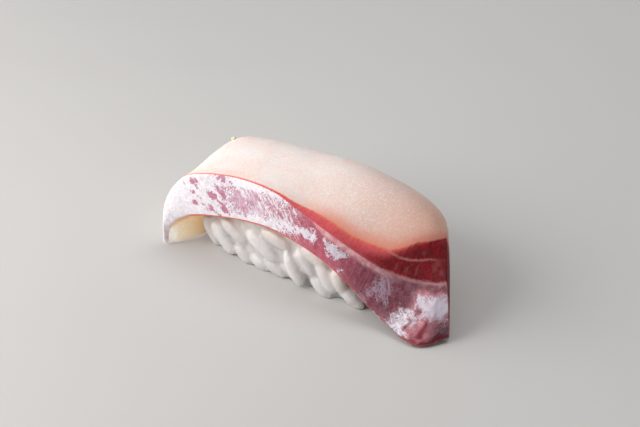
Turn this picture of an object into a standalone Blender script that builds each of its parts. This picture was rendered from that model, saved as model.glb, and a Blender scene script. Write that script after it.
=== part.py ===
"""Yellowtail nigiri: a slice of raw fish draped over a pad of pressed rice.

The slice is a loft through unlike sections, far end to near end, because its thickness, tilt and
drape change all along it. The pad is a core pressed under the slice, with the grains that show
fused on to it. Dimensions are in millimetres and become metres as each mesh is made. +X runs
along the nigiri to its near end, -Y is the skin side and +Z is up.
"""

import math
import random

import bmesh
import bpy
import numpy as np
from mathutils import Euler, Matrix, Vector, noise
from mathutils.bvhtree import BVHTree

MM = 0.001
OBJECT_NAME = "yellowtail_nigiri"
SEED = 9

# Clear space between the slice and the rice.
GAP = 0.35

# The slice's lattice: cells along it, across it and through its thickness.
CELLS_ALONG = 52
CELLS_ACROSS = 12
CELLS_THROUGH = 5
# How far the skin side, the back edge and the two cut ends bow outwards.
SKIN_BOW = 0.5
BACK_BOW = 1.0
END_BOW = 0.7
# Lumps of the skin side, at the far end and at the near tip.
SKIN_LUMP_FAR = 0.10
SKIN_LUMP_NEAR = 0.35
TOP_LUMP = 0.16
EDGE_BEVEL = 0.35

# Sections of the slice. Each one holds the upper skin edge, the lower skin edge, the upper back
# edge, the rise of the top a third and two thirds of the way across, the back thickness, and how
# far the skin side dips under its upper edge and swells above its lower one.
SECTIONS = (
    # The far tip, which hangs down to the plate.
    ((-31.0, -16.3, 0.7), (-29.9, -15.9, 0.3), (-29.0, 8.6, 0.6), -3.6, -1.2, 1.5, 0.0),
    ((-31.5, -15.7, 5.4), (-30.3, -15.1, 3.5), (-29.9, 9.2, 5.0), -1.9, -0.4, 2.2, 0.0),
    ((-31.7, -14.8, 9.5), (-28.5, -14.6, 6.3), (-30.3, 9.9, 8.8), -0.6, 0.2, 3.1, 0.0),
    ((-30.8, -14.0, 12.8), (-26.3, -14.0, 7.9), (-29.8, 10.6, 12.2), -0.2, 0.5, 3.9, 0.0),
    # The far shoulder.
    ((-28.1, -13.4, 16.6), (-22.7, -13.4, 9.2), (-27.6, 11.2, 15.2), 0.4, 1.5, 4.4, 0.0),
    ((-24.0, -13.0, 19.5), (-18.4, -13.0, 10.3), (-23.6, 12.2, 17.4), 2.2, 3.6, 4.7, 0.0),
    ((-13.9, -11.4, 21.6), (-10.5, -12.4, 11.8), (-13.6, 13.4, 18.4), 2.4, 3.6, 5.0, 0.0),
    # The middle, where the slice is thickest.
    ((-2.6, -11.0, 21.8), (-1.8, -12.2, 12.6), (-2.8, 14.4, 18.2), 2.5, 4.0, 5.2, 0.0),
    ((5.9, -11.2, 19.4), (6.8, -12.3, 11.6), (5.2, 15.0, 18.6), 3.3, 4.9, 5.2, 0.1),
    ((14.0, -11.0, 16.6), (13.8, -12.4, 9.8), (12.2, 15.0, 18.4), 4.2, 5.4, 5.2, 0.3),
    ((21.0, -9.4, 13.0), (19.6, -12.8, 7.3), (18.6, 14.6, 17.8), 4.8, 5.7, 5.0, 0.5),
    # The near shoulder, from which the skin side leans out to the plate.
    ((26.6, -8.0, 10.7), (25.3, -13.2, 4.0), (23.6, 13.6, 17.0), 4.8, 5.6, 4.8, 0.7),
    ((33.1, -6.0, 9.6), (33.5, -14.0, 0.9), (27.4, 12.4, 15.8), 4.2, 5.2, 4.6, 0.9),
    ((37.0, -4.6, 10.0), (40.4, -15.0, 0.6), (29.0, 11.4, 15.0), 3.2, 4.2, 4.2, 0.9),
    ((38.6, -4.1, 10.3), (42.4, -11.7, 0.5), (29.6, 10.9, 14.6), 2.8, 3.8, 4.0, 0.7),
    # The near cut end, which runs back on a diagonal.
    ((39.7, -3.7, 10.6), (44.2, -8.7, 0.5), (30.2, 10.4, 14.2), 2.4, 3.5, 3.8, 0.5),
)
# How much of the top's rise the underside follows, and the least that the slice thins to.
UNDER_RISE = 0.85
LEAST_THICKNESS = 1.2

# The rice core: half sizes in plan, where its widest level lies and how far it reaches each way.
CORE_MIDDLE_X = 0.5
CORE_HALF_LENGTH = 25.6
CORE_HALF_WIDTH = 9.5
CORE_WIDEST_Z = 5.5
CORE_TOP_Z = 17.0
CORE_BOTTOM_Z = -4.6
CORE_SQUARENESS = 3.5
CORE_SIDES = 36
CORE_RINGS = 16

# One cooked grain, and the rule that spreads the grains.
GRAIN_LENGTH = 7.3
GRAIN_WIDTH = 2.9
GRAIN_DEPTH = 2.4
GRAIN_SIDES = 6
GRAIN_RINGS = 4
# How far out its shoulders lie, and how full they are, against a ball's.
GRAIN_SHOULDER = 1.06
GRAIN_FULLNESS = 1.16
GRAIN_PROUD = 0.15
GRAIN_COUNT = 118
GRAIN_TOP_Z = 13.5
PLACING_TRIES = 40

# Grains that stand out along the skin side: centre, slope of the grain from level, length, width.
FRONT_GRAINS = (
    ((-22.3, -8.8, 3.4), -58, 8.4, 3.2),
    ((-17.6, -10.2, 3.6), -45, 9.2, 3.4),
    ((-5.7, -10.7, 6.3), -25, 9.6, 3.3),
    ((-11.2, -10.2, 1.3), -32, 6.2, 2.7),
    ((-6.4, -10.4, 1.4), -27, 6.4, 2.8),
    ((-2.0, -10.5, 1.9), -25, 7.2, 2.9),
    ((4.2, -11.5, 4.1), -57, 8.6, 2.8),
    ((6.8, -10.6, 6.4), -48, 7.0, 2.8),
    ((9.4, -10.5, 8.8), -15, 7.2, 3.0),
    ((11.3, -10.4, 1.5), -35, 7.6, 2.8),
    ((12.8, -10.8, 5.2), -56, 8.6, 3.2),
    ((16.7, -11.3, 6.0), -74, 6.0, 2.9),
    ((18.5, -10.5, 2.9), -28, 6.4, 2.7),
    ((19.8, -9.9, 1.3), -18, 6.0, 2.7),
    ((-14.0, -10.4, 6.8), -25, 8.6, 2.9),
    ((-1.6, -10.6, 9.4), -11, 8.4, 2.9),
)


def spline(rows, at):
    """Reads the rows between their stations, at 0 for the first one to 1 for the last."""
    last = len(rows) - 1
    place = min(max(at, 0.0), 1.0) * last
    first = min(int(place), last - 1)
    part = place - first
    a, b, c, d = (rows[min(max(first + step, 0), last)] for step in (-1, 0, 1, 2))
    bend = 2 * a - 5 * b + 4 * c - d
    twist = 3 * b - a - 3 * c + d
    return 0.5 * (2 * b + (c - a) * part + bend * part**2 + twist * part**3)


def section_rows():
    """The sections as one array of rows."""
    return np.array([(*upper, *lower, *back, *rest) for upper, lower, back, *rest in SECTIONS])


def outward(rows, at):
    """The direction that the top of the slice faces at a place along it."""
    before = spline(rows, at - 0.02)
    after = spline(rows, at + 0.02)
    here = spline(rows, at)
    along = (after[0:3] + after[6:9]) - (before[0:3] + before[6:9])
    facing = np.cross(along, here[6:9] - here[0:3])
    return facing / np.linalg.norm(facing)


def slice_point(rows, at, across, up):
    """A point of the slice: along it, from skin to back, and from underside to top, each 0 to 1."""
    row = spline(rows, at)
    upper, lower, back = row[0:3], row[3:6], row[6:9]
    rise_near, rise_far, thick, dip = row[9:13]
    facing = outward(rows, at)
    under_back = back - facing * thick
    rise = 13.5 * across * (1 - across) * ((2 / 3 - across) * rise_near + (across - 1 / 3) * rise_far)
    top = upper + (back - upper) * across + facing * rise
    under = lower + (under_back - lower) * across + facing * rise * UNDER_RISE
    # The far tip curls in, and there the underside is kept clear of the top.
    inward = min(1.0, across / 0.15)
    lack = LEAST_THICKNESS * inward - float(np.dot(top - under, facing))
    under = under - facing * max(0.0, lack) * inward
    point = under + (top - under) * up
    bow = 4 * up * (1 - up)
    sideways = (back - upper) / np.linalg.norm(back - upper)
    if across == 0:
        lump = SKIN_LUMP_FAR + (SKIN_LUMP_NEAR - SKIN_LUMP_FAR) * max(0.0, at - 0.35) / 0.65
        wave = noise.noise(Vector(point * 0.33)) + 0.5 * noise.noise(Vector(point * 0.8 + 9))
        swell = SKIN_BOW * bow + dip * math.sin(2 * math.pi * up)
        point = point - sideways * (swell + lump * wave * (0.35 + 0.65 * bow))
    elif across == 1:
        point = point + sideways * BACK_BOW * bow * min(1.0, thick / 4)
    if up == 1 and 0 < across < 1:
        point = point + facing * TOP_LUMP * noise.noise(Vector(point * 0.16 + 4)) * min(1.0, thick / 4)
    if at in (0, 1):
        end, beside = (1, 0.97) if at else (0, 0.03)
        along = spline(rows, end)[0:9] - spline(rows, beside)[0:9]
        away = along[0:3] + along[6:9]
        away = away / np.linalg.norm(away)
        inner = 4 * across * (1 - across)
        point = point + away * END_BOW * bow * (0.4 + 0.6 * inner) * min(1.0, thick / 4)
    return point


def add_object(name, mesh, collection):
    obj = bpy.data.objects.new(name, mesh)
    collection.objects.link(obj)
    return obj


def material(name, colour, roughness, scatter):
    made = bpy.data.materials.new(name)
    made.use_nodes = True
    shader = made.node_tree.nodes["Principled BSDF"]
    shader.inputs["Base Color"].default_value = (*colour, 1)
    shader.inputs["Roughness"].default_value = roughness
    shader.inputs["Subsurface Weight"].default_value = scatter
    shader.inputs["Subsurface Scale"].default_value = 2 * MM
    return made


def make_slice(collection):
    """Lofts the slice as a closed lattice: only the points on its six faces are made."""
    rows = section_rows()
    shape = bmesh.new()
    corners = {}

    def corner(i, j, k):
        if (i, j, k) not in corners:
            point = slice_point(rows, i / CELLS_ALONG, j / CELLS_ACROSS, k / CELLS_THROUGH)
            corners[i, j, k] = shape.verts.new(Vector(point) * MM)
        return corners[i, j, k]

    def face(*places):
        shape.faces.new([corner(*place) for place in places])

    for i in range(CELLS_ALONG):
        for j in range(CELLS_ACROSS):
            for k in (0, CELLS_THROUGH):
                face((i, j, k), (i + 1, j, k), (i + 1, j + 1, k), (i, j + 1, k))
        for k in range(CELLS_THROUGH):
            for j in (0, CELLS_ACROSS):
                face((i, j, k), (i + 1, j, k), (i + 1, j, k + 1), (i, j, k + 1))
    for j in range(CELLS_ACROSS):
        for k in range(CELLS_THROUGH):
            for i in (0, CELLS_ALONG):
                face((i, j, k), (i, j + 1, k), (i, j + 1, k + 1), (i, j, k + 1))
    bmesh.ops.recalc_face_normals(shape, faces=shape.faces)
    mesh = bpy.data.meshes.new("fish_slice")
    shape.to_mesh(mesh)
    shape.free()
    mesh.shade_smooth()
    obj = add_object("fish_slice", mesh, collection)
    soften = obj.modifiers.new("Cut edges", "BEVEL")
    soften.width = EDGE_BEVEL * MM
    soften.segments = 1
    soften.limit_method = "ANGLE"
    soften.angle_limit = math.radians(48)
    return obj


def tree_of(obj):
    """The slice as it is evaluated, for measuring the room that it leaves."""
    bpy.context.view_layer.update()
    return BVHTree.FromObject(obj, bpy.context.evaluated_depsgraph_get())


def underside(tree, x, y):
    """Height in millimetres of the slice's underside above a place on the plate, or None beside it."""
    hit = tree.ray_cast(Vector((x, y, -20)) * MM, Vector((0, 0, 1)))[0]
    return None if hit is None else hit.z / MM


def core_point(turn, climb):
    """A point of the unpressed core, by angle round it and by angle up from its widest level."""
    level = math.cos(climb) ** 0.7
    power = CORE_SQUARENESS
    away = (abs(math.cos(turn)) ** power + abs(math.sin(turn)) ** power) ** (-1 / power)
    rise = abs(math.sin(climb)) ** 0.83
    reach = CORE_TOP_Z - CORE_WIDEST_Z if climb > 0 else CORE_BOTTOM_Z - CORE_WIDEST_Z
    return Vector((
        CORE_MIDDLE_X + CORE_HALF_LENGTH * level * away * math.cos(turn),
        CORE_HALF_WIDTH * level * away * math.sin(turn),
        CORE_WIDEST_Z + reach * rise,
    ))


def make_core(tree, collection):
    """A ball drawn out to the pad's form, then brought down where the slice presses on it."""
    shape = bmesh.new()
    bmesh.ops.create_uvsphere(shape, u_segments=CORE_SIDES, v_segments=CORE_RINGS, radius=1)
    for vert in shape.verts:
        point = core_point(math.atan2(vert.co.y, vert.co.x), math.asin(max(-1.0, min(1.0, vert.co.z))))
        room = underside(tree, point.x, point.y)
        if room is not None:
            point.z = min(point.z, room - GAP)
        vert.co = point * MM
    mesh = bpy.data.meshes.new("rice_pad")
    shape.to_mesh(mesh)
    shape.free()
    return add_object("rice_pad", mesh, collection)


def grain_frame(centre, out, slope, length, width, depth, yaw=0.0):
    """Where a grain lies: its long axis slopes within the surface that faces out."""
    out = out.normalized()
    level = Vector((0, 0, 1)).cross(out)
    if level.length < 0.1:
        level = Vector((1, 0, 0))
    level.normalize()
    rise = out.cross(level)
    long_axis = (level * math.cos(slope) + rise * math.sin(slope) + out * math.sin(yaw)).normalized()
    flat_axis = (out - long_axis * out.dot(long_axis)).normalized()
    side_axis = flat_axis.cross(long_axis)
    turn = Matrix((long_axis, side_axis, flat_axis)).transposed().to_4x4()
    size = Matrix.Diagonal((length / 2, width / 2, depth / 2, 1))
    return Matrix.Translation(centre) @ turn @ size


def grain_mesh():
    """A plump grain of unit half sizes, blunter than a ball at its ends."""
    shape = bmesh.new()
    bmesh.ops.create_uvsphere(shape, u_segments=GRAIN_SIDES, v_segments=GRAIN_RINGS, radius=1)
    bmesh.ops.rotate(shape, verts=shape.verts, matrix=Euler((0, math.radians(90), 0)).to_matrix())
    for vert in shape.verts:
        if 0.1 < abs(vert.co.x) < 0.9:
            vert.co.x *= GRAIN_SHOULDER
            vert.co.y *= GRAIN_FULLNESS
            vert.co.z *= GRAIN_FULLNESS
    mesh = bpy.data.meshes.new("grain")
    shape.to_mesh(mesh)
    shape.free()
    return mesh


def clears(tree, frame, points):
    """Whether a grain keeps the gap to the slice everywhere."""
    for point in points:
        place = frame @ point
        room = underside(tree, place.x, place.y)
        if room is not None and place.z > room - GAP:
            return False
        if tree.find_nearest(place * MM, 4 * MM)[0] is not None:
            if tree.find_nearest(place * MM)[3] < GAP * MM:
                return False
    return True


def fitted(tree, points, centre, out, slope, length, width, depth, yaw):
    """The grain's frame once it is moved down or shortened to clear the slice, or None."""
    for short in (1.0, 0.8):
        for drop in range(8):
            moved = centre - Vector((0, 0, 0.35 * drop))
            frame = grain_frame(moved, out, slope, length * short, width, depth, yaw)
            if clears(tree, frame, points):
                return frame
    return None


def side_spots(rng, tree):
    """Candidate places on the core's showing sides, each with the way it faces."""
    while True:
        turn = rng.uniform(0, 2 * math.pi)
        climb = rng.uniform(-0.42, 0.95) * 0.5 * math.pi
        here = core_point(turn, climb)
        if not 0.8 < here.z < GRAIN_TOP_Z:
            continue
        # The sides are far longer than the ends, so places are kept in step with the length.
        beside = core_point(turn + 0.02, climb)
        if rng.random() > (beside - here).length / (0.02 * 1.25 * CORE_HALF_LENGTH):
            continue
        above = core_point(turn, climb + 0.02)
        out = (beside - here).cross(above - here).normalized()
        room = underside(tree, here.x, here.y)
        if room is not None and here.z > room - 0.6:
            continue
        yield here, out


def grain_frames(tree):
    """Lays the named front grains, then spreads the rest, each as far as it can be from the others."""
    rng = random.Random(SEED)
    points = [vert.co.copy() for vert in grain_mesh().vertices]
    frames = []
    laid = []
    for centre, slope, length, width in FRONT_GRAINS:
        spot = Vector(centre)
        skinward = Vector((0, -1, 0))
        frame = fitted(tree, points, spot, skinward, math.radians(slope), length, width, GRAIN_DEPTH, 0.0)
        if frame is not None:
            frames.append(frame)
            laid.append(spot)
    spots = side_spots(rng, tree)
    for _ in range(GRAIN_COUNT):
        tries = [next(spots) for _ in range(PLACING_TRIES)]
        here, out = max(tries, key=lambda spot: min((spot[0] - other).length for other in laid))
        laid.append(here)
        slope = math.radians(rng.gauss(-25, 38))
        length = GRAIN_LENGTH * rng.uniform(0.86, 1.12)
        width = GRAIN_WIDTH * rng.uniform(0.9, 1.12)
        depth = GRAIN_DEPTH * rng.uniform(0.9, 1.1)
        centre = here + out * (GRAIN_PROUD + rng.uniform(-0.15, 0.35))
        frame = fitted(tree, points, centre, out, slope, length, width, depth, rng.uniform(-0.12, 0.12))
        if frame is not None:
            frames.append(frame)
    return frames


def apply_boolean(obj, name, operation, **operand):
    """Runs one Boolean on the object and keeps its result as the object's mesh."""
    cut = obj.modifiers.new(name, "BOOLEAN")
    cut.operation = operation
    for key, value in operand.items():
        setattr(cut, key, value)
    bpy.context.view_layer.update()
    made = bpy.data.meshes.new_from_object(obj.evaluated_get(bpy.context.evaluated_depsgraph_get()))
    obj.modifiers.remove(cut)
    obj.data = made


def keep_outer_shell(mesh):
    """Drops loose scraps and the shells of sealed hollows, which fills those hollows."""
    shape = bmesh.new()
    shape.from_mesh(mesh)
    left = set(shape.faces)
    shells = []
    while left:
        first = left.pop()
        shell = {first}
        edge = [first]
        while edge:
            face = edge.pop()
            near = {link for side in face.edges for link in side.link_faces} - shell
            shell |= near
            edge.extend(near)
        left -= shell
        shells.append(shell)
    largest = max(shells, key=len)
    others = [face for shell in shells if shell is not largest for face in shell]
    bmesh.ops.delete(shape, geom=others, context="FACES")
    loose = [vert for vert in shape.verts if not vert.link_faces]
    bmesh.ops.delete(shape, geom=loose, context="VERTS")
    shape.to_mesh(mesh)
    shape.free()


def make_rice(slice_obj, collection):
    tree = tree_of(slice_obj)
    core = make_core(tree, collection)
    grains = bpy.data.collections.new("rice_grains")
    bpy.context.scene.collection.children.link(grains)
    mesh = grain_mesh()
    for number, frame in enumerate(grain_frames(tree)):
        grain = add_object(f"grain_{number:03d}", mesh.copy(), grains)
        grain.data.transform(Matrix.Scale(MM, 4) @ frame)
    apply_boolean(core, "Grains", "UNION", operand_type="COLLECTION", collection=grains)
    for grain in list(grains.objects):
        bpy.data.objects.remove(grain)
    bpy.data.collections.remove(grains)

    # Everything under the plate's level goes, which leaves the flat underside.
    shape = bmesh.new()
    place = Matrix.Translation((0, 0, -10 * MM)) @ Matrix.Diagonal((0.12, 0.08, 20 * MM, 1))
    bmesh.ops.create_cube(shape, size=1, matrix=place)
    below = bpy.data.meshes.new("below_plate")
    shape.to_mesh(below)
    shape.free()
    cutter = add_object("below_plate", below, collection)
    apply_boolean(core, "Flat underside", "DIFFERENCE", object=cutter)
    bpy.data.objects.remove(cutter)
    keep_outer_shell(core.data)
    core.data.shade_smooth()
    return core


def main():
    for obj in list(bpy.data.objects):
        bpy.data.objects.remove(obj)
    collection = bpy.data.collections.new(OBJECT_NAME)
    bpy.context.scene.collection.children.link(collection)
    fish = make_slice(collection)
    fish.data.materials.append(material("fish", (0.78, 0.55, 0.48), 0.3, 0.25))
    rice = make_rice(fish, collection)
    rice.data.materials.clear()
    rice.data.materials.append(material("rice", (0.82, 0.78, 0.72), 0.38, 0.3))


main()
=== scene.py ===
import math
import random

import bmesh
import bpy
import numpy as np
from mathutils import Euler, Matrix, Vector, noise
from mathutils.bvhtree import BVHTree


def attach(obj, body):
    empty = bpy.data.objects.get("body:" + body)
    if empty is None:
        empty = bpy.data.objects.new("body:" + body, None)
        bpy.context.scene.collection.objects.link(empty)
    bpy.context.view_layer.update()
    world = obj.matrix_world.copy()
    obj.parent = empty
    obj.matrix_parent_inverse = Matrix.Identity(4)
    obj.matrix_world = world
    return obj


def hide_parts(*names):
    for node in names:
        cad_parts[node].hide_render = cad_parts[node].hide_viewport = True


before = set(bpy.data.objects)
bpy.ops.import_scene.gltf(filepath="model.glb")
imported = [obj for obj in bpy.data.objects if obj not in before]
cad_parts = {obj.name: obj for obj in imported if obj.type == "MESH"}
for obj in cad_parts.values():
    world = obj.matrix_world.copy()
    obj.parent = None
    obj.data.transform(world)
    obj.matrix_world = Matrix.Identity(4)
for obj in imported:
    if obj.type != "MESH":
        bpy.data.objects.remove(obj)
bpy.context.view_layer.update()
mm = 0.001

print("frame loaded:", ", ".join(sorted(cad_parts)))


def linked(obj):
    bpy.context.scene.collection.objects.link(obj)
    return obj


class Paint:
    # The nodes of one material or group. A colour may be a socket, a value or a name in the look.

    def __init__(self, tree, look=None, place=None):
        self.tree, self.look, self.place, self.at = tree, look, place, None

    def put(self, kind, sockets=None, **settings):
        made = self.tree.nodes.new("ShaderNode" + kind)
        for key, value in settings.items():
            setattr(made, key, value)
        for key, value in (sockets or {}).items():
            if isinstance(value, bpy.types.NodeSocket):
                self.tree.links.new(value, made.inputs[key])
            else:
                made.inputs[key].default_value = value
        return made

    def calc(self, operation, first, second):
        return self.put("Math", {0: first, 1: second}, operation=operation).outputs[0]

    def plus(self, first, second):
        return self.calc("ADD", first, second)

    def less(self, first, second):
        return self.calc("SUBTRACT", first, second)

    def larger(self, first, second):
        return self.calc("MAXIMUM", first, second)

    def power(self, first, second):
        return self.calc("POWER", first, second)

    def times(self, first, *others):
        for other in others:
            first = self.calc("MULTIPLY", first, other)
        return first

    def fit(self, value, low, high, toLow=0.0, toHigh=1.0):
        sockets = {"Value": value, "From Min": low, "From Max": high, "To Min": toLow, "To Max": toHigh}
        return self.put("MapRange", sockets, interpolation_type="SMOOTHSTEP").outputs["Result"]

    def blend(self, mask, first, second, amount=1.0):
        if amount != 1.0:
            mask = self.times(mask, amount)
        first, second = (self.look[one] if isinstance(one, str) else one for one in (first, second))
        return self.put("Mix", {0: mask, 6: first, 7: second}, data_type="RGBA").outputs[2]

    def drawOut(self, place, stretch):
        return self.put("VectorMath", {0: place, 1: stretch}, operation="MULTIPLY").outputs[0]

    def mottle(self, place, scale, detail, roughness=0.5, distortion=0.0):
        names = ("Vector", "Scale", "Detail", "Roughness", "Distortion")
        sockets = dict(zip(names, (place, scale, detail, roughness, distortion)))
        return self.put("TexNoise", sockets).outputs["Fac"]

    def field(self, name, output="Fac"):
        return self.put("Attribute", attribute_name=name).outputs[output]

    def along(self, change):
        # How far a named change along the slice has come.
        return self.fit(self.at, *self.look["along"][change])

    def shared(self, group, output, **sockets):
        # One of the shared groups, at this material's own place unless another is given.
        return self.put("Group", {"Place": self.place, **sockets}, node_tree=group).outputs[output]

    def clouds(self, first, second, fineness):
        first, second = self.look[first], self.look[second]
        return self.shared(cloudGroup, "Colour", First=first, Second=second, Fineness=fineness)

    def drift(self, fineness):
        return self.shared(cloudGroup, "Tone", Fineness=fineness)

    def strands(self, name):
        turn, stretch, detail = self.look["strands"][name]
        return self.shared(fibreGroup, "Tone", Turn=turn, Stretch=stretch, Detail=detail)

    def frayed(self, field, name, *softness):
        values = zip(("Fineness", "Reach", "Softness"), (*self.look["frayed"][name], *softness))
        return self.shared(featherGroup, "Mask", Field=field, **dict(values))

    def beads(self, place):
        fineness, size = self.look["beads"]
        return self.shared(beadGroup, "Mask", Place=place, Fineness=fineness, Size=size)

    def finish(self, colour, rough, bump=None, body=()):
        shader = self.tree.nodes["Principled BSDF"].inputs
        self.tree.links.new(colour, shader["Base Color"])
        self.tree.links.new(rough, shader["Roughness"])
        if bump:
            made = self.put("Bump", dict(zip(("Height", "Distance", "Strength"), bump)))
            self.tree.links.new(made.outputs["Normal"], shader["Normal"])
        for name, value in zip(bodySockets, body):
            shader[name].default_value = value


# how light sinks into the food and how its skin shines, in the order of each look's "body"
bodySockets = (
    "Subsurface Weight", "Subsurface Radius", "Subsurface Scale",
    "Specular IOR Level", "Coat Weight", "Coat Roughness",
)


def newMaterial(name, look):
    made = bpy.data.materials.new(name)
    made.use_nodes = True
    return made, Paint(made.node_tree, look)


def objectPlace(paint):
    # Places on the object itself, in millimetres.
    return paint.drawOut(paint.put("TexCoord").outputs["Object"], (1 / mm,) * 3)


def newGroup(name, output, **inputs):
    # Inputs are the place and whatever values are given; the output is a mask or a tone.
    group = bpy.data.node_groups.new(name, "ShaderNodeTree")
    group.interface.new_socket("Place", in_out="INPUT", socket_type="NodeSocketVector")
    kinds = {1: "Float", 3: "Vector", 4: "Color"}
    for label, value in inputs.items():
        kind = kinds[len(value) if isinstance(value, tuple) else 1]
        socket = group.interface.new_socket(label, in_out="INPUT", socket_type="NodeSocket" + kind)
        socket.default_value = value
    group.interface.new_socket(output, in_out="OUTPUT", socket_type="NodeSocketFloat")
    paint = Paint(group)
    given = group.nodes.new("NodeGroupInput").outputs
    return paint, given, group.nodes.new("NodeGroupOutput").inputs


def makeFibres():
    # Long strands: a noise turned and drawn out in the slice's own flat coordinates, in millimetres.
    paint, given, out = newGroup("longStrands", "Tone", Turn=(0, 0, 0), Stretch=(1, 1, 1), Detail=3.0)
    sockets = {"Vector": given["Place"], "Rotation": given["Turn"]}
    turned = paint.put("VectorRotate", sockets, rotation_type="EULER_XYZ").outputs[0]
    strand = paint.mottle(paint.drawOut(turned, given["Stretch"]), 1.0, given["Detail"], 0.55)
    paint.tree.links.new(paint.fit(strand, 0.28, 0.72), out["Tone"])
    return paint.tree


def makeFeathered():
    # Turns a soft field into a patch with frayed edges.
    paint, given, out = newGroup("frayedPatch", "Mask", Field=0.0, Fineness=2.0, Reach=1.0, Softness=0.1)
    fray = paint.mottle(given["Place"], given["Fineness"], 5.0, 0.65, 0.8)
    total = paint.plus(given["Field"], paint.times(paint.less(fray, 0.5), given["Reach"]))
    low = paint.times(given["Softness"], -1.0)
    paint.tree.links.new(paint.fit(total, low, given["Softness"]), out["Mask"])
    return paint.tree


def makeClouded():
    # Two close colours clouded into each other.
    white = (1, 1, 1, 1)
    paint, given, out = newGroup("cloudedColour", "Tone", First=white, Second=white, Fineness=0.4)
    paint.tree.interface.new_socket("Colour", in_out="OUTPUT", socket_type="NodeSocketColor")
    tone = paint.fit(paint.mottle(given["Place"], given["Fineness"], 4.0, 0.6, 0.4), 0.3, 0.7)
    paint.tree.links.new(tone, out["Tone"])
    paint.tree.links.new(paint.blend(tone, given["First"], given["Second"]), out["Colour"])
    return paint.tree


def makeSpeckle():
    # Small wet beads of moisture and fat.
    paint, given, out = newGroup("wetBeads", "Mask", Fineness=1.6, Size=0.25)
    sockets = {"Vector": given["Place"], "Scale": given["Fineness"], "Randomness": 1.0}
    cells = paint.put("TexVoronoi", sockets)
    spared = paint.fit(paint.mottle(given["Place"], 0.55, 2.0), 0.25, 0.60)
    beadGlint = paint.less(paint.times(given["Size"], spared), cells.outputs["Distance"])
    paint.tree.links.new(paint.fit(beadGlint, 0.0, 0.12), out["Mask"])
    return paint.tree


def makeNeedles():
    # Fine needles lying in three directions, as in frost.
    paint, given, out = newGroup("frostNeedles", "Tone", Lean=0.85, Fineness=1.0)
    ridges = []
    for turn, stretch in ((0.0, (1.5, 1.0, 0.16)), (-1.2, (1.5, 1.0, 0.34)), (1.15, (1.6, 1.0, 0.4))):
        sockets = {"Vector": given["Place"], "Angle": paint.plus(given["Lean"], turn)}
        turned = paint.put("VectorRotate", sockets, rotation_type="Y_AXIS").outputs[0]
        strand = paint.mottle(paint.drawOut(turned, stretch), given["Fineness"], 1.0, 0.5, 0.3)
        ridges.append(paint.fit(paint.calc("ABSOLUTE", paint.less(strand, 0.5), 0.0), 0.055, 0.0))
    tone = paint.larger(paint.larger(ridges[0], ridges[1]), ridges[2])
    paint.tree.links.new(tone, out["Tone"])
    return paint.tree


fibreGroup, featherGroup, cloudGroup, beadGroup = makeFibres(), makeFeathered(), makeClouded(), makeSpeckle()
needleGroup = makeNeedles()


# the slice

sliceForm = {
    "cellsAlong": 310, "cellsAcross": 84, "cellsThrough": 30,
    "crowding": 0.45,          # how much the cells crowd towards the cut edges
    "skinBow": 0.5, "backBow": 1.0, "endBow": 0.7,
    "lumpFar": 0.10, "lumpNear": 0.35, "topLump": 0.16,
    "underRise": 0.85, "leastThickness": 1.2,
    "blendAcross": 1 / 12, "blendAlong": 1 / 52,     # how far an edge's swell runs into the faces beside it
    # upper skin edge, lower skin edge, upper back edge, rise at a third and two thirds, back thickness, dip
    "sections": (
        ((-31.0, -16.3, 0.7), (-29.9, -15.9, 0.3), (-29.0, 8.6, 0.6), -3.6, -1.2, 1.5, 0.0),
        ((-31.5, -15.7, 5.4), (-30.3, -15.1, 3.5), (-29.9, 9.2, 5.0), -1.9, -0.4, 2.2, 0.0),
        ((-31.7, -14.8, 9.5), (-28.5, -14.6, 6.3), (-30.3, 9.9, 8.8), -0.6, 0.2, 3.1, 0.0),
        ((-30.8, -14.0, 12.8), (-26.3, -14.0, 7.9), (-29.8, 10.6, 12.2), -0.2, 0.5, 3.9, 0.0),
        ((-28.1, -13.4, 16.6), (-22.7, -13.4, 9.2), (-27.6, 11.2, 15.2), 0.4, 1.5, 4.4, 0.0),
        ((-24.0, -13.0, 19.5), (-18.4, -13.0, 10.3), (-23.6, 12.2, 17.4), 2.2, 3.6, 4.7, 0.0),
        ((-13.9, -11.4, 21.6), (-10.5, -12.4, 11.8), (-13.6, 13.4, 18.4), 2.4, 3.6, 5.0, 0.0),
        ((-2.6, -11.0, 21.8), (-1.8, -12.2, 12.6), (-2.8, 14.4, 18.2), 2.5, 4.0, 5.2, 0.0),
        ((5.9, -11.2, 19.4), (6.8, -12.3, 11.6), (5.2, 15.0, 18.6), 3.3, 4.9, 5.2, 0.1),
        ((14.0, -11.0, 16.6), (13.8, -12.4, 9.8), (12.2, 15.0, 18.4), 4.2, 5.4, 5.2, 0.3),
        ((21.0, -9.4, 13.0), (19.6, -12.8, 7.3), (18.6, 14.6, 17.8), 4.8, 5.7, 5.0, 0.5),
        ((26.6, -8.0, 10.7), (25.3, -13.2, 4.0), (23.6, 13.6, 17.0), 4.8, 5.6, 4.8, 0.7),
        ((33.1, -6.0, 9.6), (33.5, -14.0, 0.9), (27.4, 12.4, 15.8), 4.2, 5.2, 4.6, 0.9),
        ((37.0, -4.6, 10.0), (40.3, -16.1, 0.15), (29.0, 11.4, 15.0), 3.2, 4.2, 4.2, 0.9),
        ((38.6, -4.1, 10.3), (42.4, -11.7, 0.5), (29.6, 10.9, 14.6), 2.8, 3.8, 4.0, 0.7),
        ((39.7, -3.7, 10.6), (44.2, -8.7, 0.5), (30.2, 10.4, 14.2), 2.4, 3.5, 3.8, 0.5),
    ),
    # radius over which each edge is softened: the skin's upper and lower edge, the back's, the cut ends'
    "softUpper": 0.7, "softUpperNear": 1.5, "softLower": 0.6, "softBack": 1.6, "softEnd": 0.9,
    "softPasses": 14, "patchWarp": 1.1, "tornDepth": 0.5,
}
sectionRows = np.array([(*a, *b, *c, *rest) for a, b, c, *rest in sliceForm["sections"]])


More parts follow.
